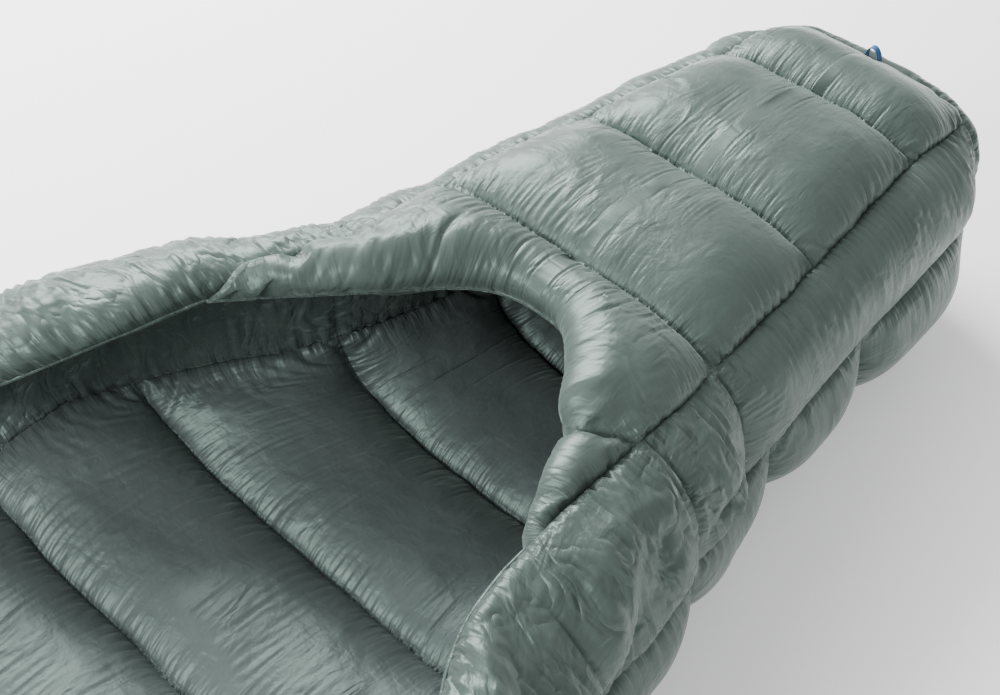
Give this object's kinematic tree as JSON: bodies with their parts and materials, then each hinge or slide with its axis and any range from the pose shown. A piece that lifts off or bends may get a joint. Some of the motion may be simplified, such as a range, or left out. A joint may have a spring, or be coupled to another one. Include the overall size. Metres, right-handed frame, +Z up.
{
  "type": "camp quilt",
  "caption": "Down camp quilt lying open: baffled body sheet curling into a closed footbox, hang loop at the toe, snap tabs at the neck.",
  "frame": {"origin": "on the surface it lies on, under the middle of its overall box", "axes": "+Y towards the foot end, +Z up from its outer face through its open back, +X to the right when looking to the foot"},
  "size_m": [1.3174, 1.9371, 0.324],
  "materials": {
    "shell_nylon": "thin calendered nylon with a soft sheen, grey green",
    "lining_nylon": "thin calendered nylon, a darker grey green",
    "down_fill": "loose white down",
    "baffle_mesh": "light knitted mesh",
    "blue_webbing": "woven ribbon, blue",
    "green_webbing": "woven nylon tape, grey green",
    "snap_plastic": "moulded plastic, slight gloss"
  },
  "bodies": {
    "foot_half": {"baffle_back_1": "baffle_mesh", "baffle_back_2": "baffle_mesh", "baffle_back_3": "baffle_mesh", "baffle_centre_01": "baffle_mesh", "baffle_centre_02": "baffle_mesh", "baffle_centre_03": "baffle_mesh", "baffle_centre_04": "baffle_mesh", "baffle_centre_05": "baffle_mesh", "baffle_centre_06": "baffle_mesh", "baffle_centre_07": "baffle_mesh", "down_back_1": "down_fill", "down_back_2": "down_fill", "down_back_3": "down_fill", "down_centre_01": "down_fill", "down_centre_02": "down_fill", "down_centre_03": "down_fill", "down_centre_04": "down_fill", "down_centre_05": "down_fill", "down_centre_06": "down_fill", "down_centre_07": "down_fill", "down_left_1": "down_fill", "down_left_2": "down_fill", "down_left_3": "down_fill", "down_left_4": "down_fill", "down_left_5": "down_fill", "down_left_6": "down_fill", "down_mouth": "down_fill", "down_right_1": "down_fill", "down_right_2": "down_fill", "down_right_3": "down_fill", "down_right_4": "down_fill", "down_right_5": "down_fill", "down_right_6": "down_fill", "down_toe": "down_fill", "lining_body_foot": "lining_nylon", "lining_footbox_back": "lining_nylon", "lining_toe": "lining_nylon", "shell_body_foot": "shell_nylon", "shell_footbox_back": "shell_nylon", "shell_toe": "shell_nylon"},
    "head_half": {"baffle_centre_08": "baffle_mesh", "baffle_centre_09": "baffle_mesh", "baffle_centre_10": "baffle_mesh", "down_centre_08": "down_fill", "down_centre_09": "down_fill", "down_centre_10": "down_fill", "down_collar": "down_fill", "down_left_7": "down_fill", "down_left_8": "down_fill", "down_left_9": "down_fill", "down_right_7": "down_fill", "down_right_8": "down_fill", "down_right_9": "down_fill", "lining_body_head": "lining_nylon", "shell_body_head": "shell_nylon"},
    "toe_loop": {"hang_loop": "blue_webbing"},
    "left_tab": {"neck_tab_left": "green_webbing", "snap_stud": "snap_plastic"},
    "right_tab": {"neck_tab_right": "green_webbing", "snap_socket": "snap_plastic"}
  },
  "joints": [
    {"name": "head_fold", "type": "hinge", "parent": "foot_half", "child": "head_half", "pos_m": [0, -0.4, 0.07], "axis": [-1, 0, 0], "range_deg": [0, 140]},
    {"name": "toe_loop_flop", "type": "hinge", "parent": "foot_half", "child": "toe_loop", "pos_m": [-0.009, 0.922, 0.28956], "axis": [-1, 0, 0], "range_deg": [-10, 40]},
    {"name": "left_tab_fold", "type": "hinge", "parent": "head_half", "child": "left_tab", "pos_m": [-0.59423, -0.934, 0.04945], "axis": [0, 1, 0], "range_deg": [-20, 120]},
    {"name": "right_tab_fold", "type": "hinge", "parent": "head_half", "child": "right_tab", "pos_m": [0.59423, -0.934, 0.04786], "axis": [0, -1, 0], "range_deg": [-20, 120]}
  ]
}
